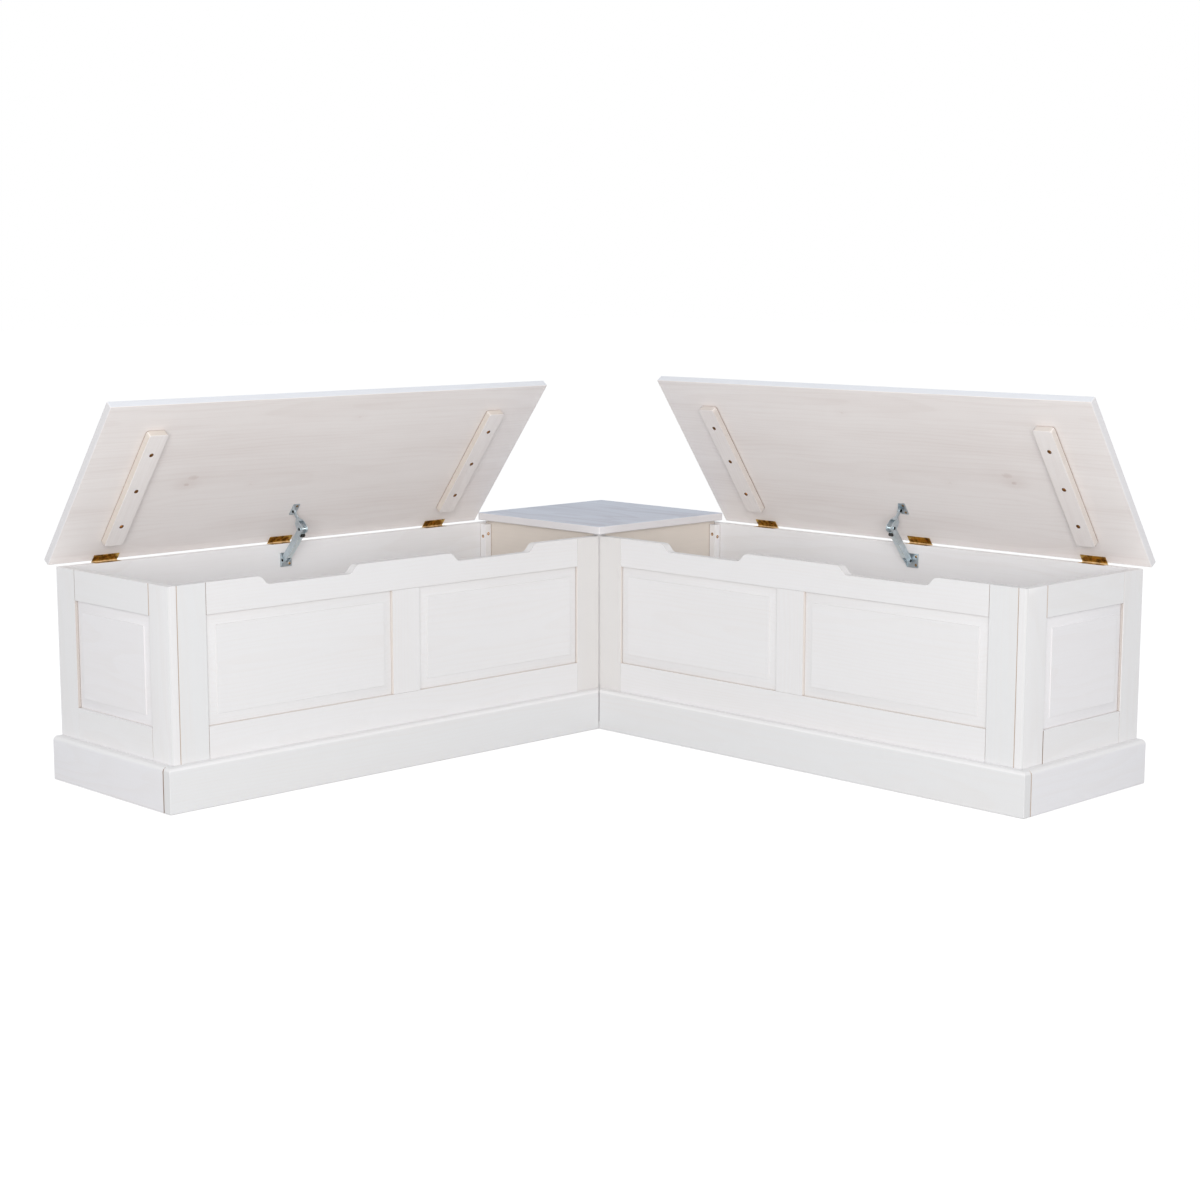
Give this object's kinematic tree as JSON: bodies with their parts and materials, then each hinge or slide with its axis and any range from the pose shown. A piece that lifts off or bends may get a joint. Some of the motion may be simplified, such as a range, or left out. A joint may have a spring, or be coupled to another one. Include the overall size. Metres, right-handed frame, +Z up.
{
  "type": "corner storage bench",
  "caption": "L-shaped corner storage bench with raised-panel fronts, a moulded plinth, hinged lids held by folding metal stays and a fixed square corner top.",
  "frame": {"origin": "on the floor, under the middle of the bench's outline with the lids standing open as stored", "axes": "+Z up; the right wing runs along +X from the corner with its wall at +Y, the left wing runs along -Y with its wall at -X"},
  "size_m": [1.592, 1.5926, 0.7936],
  "materials": {
    "washed_pine": "white wash with the pine grain faintly showing, satin",
    "lid_pine": "white wash with faint grain and small knots, satin",
    "brass": "bright brass with darker edges",
    "zinc_steel": "bluish zinc plate, satin",
    "black_rubber": "matt black"
  },
  "bodies": {
    "carcass": {"corner_post": "washed_pine", "corner_top": "lid_pine", "left_front_inner_stile": "washed_pine", "left_front_outer_stile": "washed_pine", "left_front_top_rail": "washed_pine", "left_front_bottom_rail": "washed_pine", "left_front_muntin": "washed_pine", "left_front_inner_panel": "washed_pine", "left_front_outer_panel": "washed_pine", "left_end_frame": "washed_pine", "left_end_panel": "washed_pine", "left_back_panel": "washed_pine", "left_floor_board": "washed_pine", "left_corner_cleat": "washed_pine", "left_partition": "washed_pine", "left_front_plinth": "washed_pine", "left_end_plinth": "washed_pine", "left_inner_hinge_fixed_leaf": "brass", "left_middle_hinge_fixed_leaf": "brass", "left_outer_hinge_fixed_leaf": "brass", "left_stay_wall_bracket": "zinc_steel", "right_front_inner_stile": "washed_pine", "right_front_outer_stile": "washed_pine", "right_front_top_rail": "washed_pine", "right_front_bottom_rail": "washed_pine", "right_front_muntin": "washed_pine", "right_front_inner_panel": "washed_pine", "right_front_outer_panel": "washed_pine", "right_end_frame": "washed_pine", "right_end_panel": "washed_pine", "right_back_panel": "washed_pine", "right_floor_board": "washed_pine", "right_corner_cleat": "washed_pine", "right_partition": "washed_pine", "right_front_plinth": "washed_pine", "right_end_plinth": "washed_pine", "right_inner_hinge_fixed_leaf": "brass", "right_middle_hinge_fixed_leaf": "brass", "right_outer_hinge_fixed_leaf": "brass", "right_stay_wall_bracket": "zinc_steel"},
    "left_lid": {"left_lid_board": "lid_pine", "left_lid_inner_batten": "lid_pine", "left_lid_outer_batten": "lid_pine", "left_inner_hinge_lid_leaf": "brass", "left_middle_hinge_lid_leaf": "brass", "left_outer_hinge_lid_leaf": "brass", "left_stay_lid_bracket": "zinc_steel"},
    "left_stay_lower": {"left_stay_lower_arm": "zinc_steel", "left_stay_stop": "black_rubber"},
    "left_stay_upper": {"left_stay_upper_arm": "zinc_steel"},
    "right_lid": {"right_lid_board": "lid_pine", "right_lid_inner_batten": "lid_pine", "right_lid_outer_batten": "lid_pine", "right_inner_hinge_lid_leaf": "brass", "right_middle_hinge_lid_leaf": "brass", "right_outer_hinge_lid_leaf": "brass", "right_stay_lid_bracket": "zinc_steel"},
    "right_stay_lower": {"right_stay_lower_arm": "zinc_steel", "right_stay_stop": "black_rubber"},
    "right_stay_upper": {"right_stay_upper_arm": "zinc_steel"}
  },
  "joints": [
    {"name": "left_lid_hinge", "type": "hinge", "parent": "carcass", "child": "left_lid", "pos_m": [-0.7823, -0.21755, 0.43815], "axis": [0, -1, 0], "range_deg": [-52.4, 32.6]},
    {"name": "left_stay_wall_pivot", "type": "hinge", "parent": "carcass", "child": "left_stay_lower", "pos_m": [-0.7535, -0.22155, 0.4026], "axis": [0, -1, 0], "range_deg": [-52.4, 32.6]},
    {"name": "left_stay_elbow", "type": "hinge", "parent": "left_stay_lower", "child": "left_stay_upper", "pos_m": [-0.68821, -0.22155, 0.47664], "axis": [0, -1, 0], "range_deg": [-32.6, 52.4]},
    {"name": "right_lid_hinge", "type": "hinge", "parent": "carcass", "child": "right_lid", "pos_m": [0.21725, 0.782, 0.43815], "axis": [-1, 0, 0], "range_deg": [-54.9, 30.1]},
    {"name": "right_stay_wall_pivot", "type": "hinge", "parent": "carcass", "child": "right_stay_lower", "pos_m": [0.20525, 0.7532, 0.4026], "axis": [-1, 0, 0], "range_deg": [-54.9, 30.1]},
    {"name": "right_stay_elbow", "type": "hinge", "parent": "right_stay_lower", "child": "right_stay_upper", "pos_m": [0.20525, 0.6912, 0.47942], "axis": [-1, 0, 0], "range_deg": [-30.1, 54.9]}
  ],
  "couplings": [
    {"joint": "left_stay_wall_pivot", "follows": "left_lid_hinge", "ratio": 1},
    {"joint": "left_stay_elbow", "follows": "left_lid_hinge", "ratio": -1},
    {"joint": "right_stay_wall_pivot", "follows": "right_lid_hinge", "ratio": 1},
    {"joint": "right_stay_elbow", "follows": "right_lid_hinge", "ratio": -1}
  ]
}
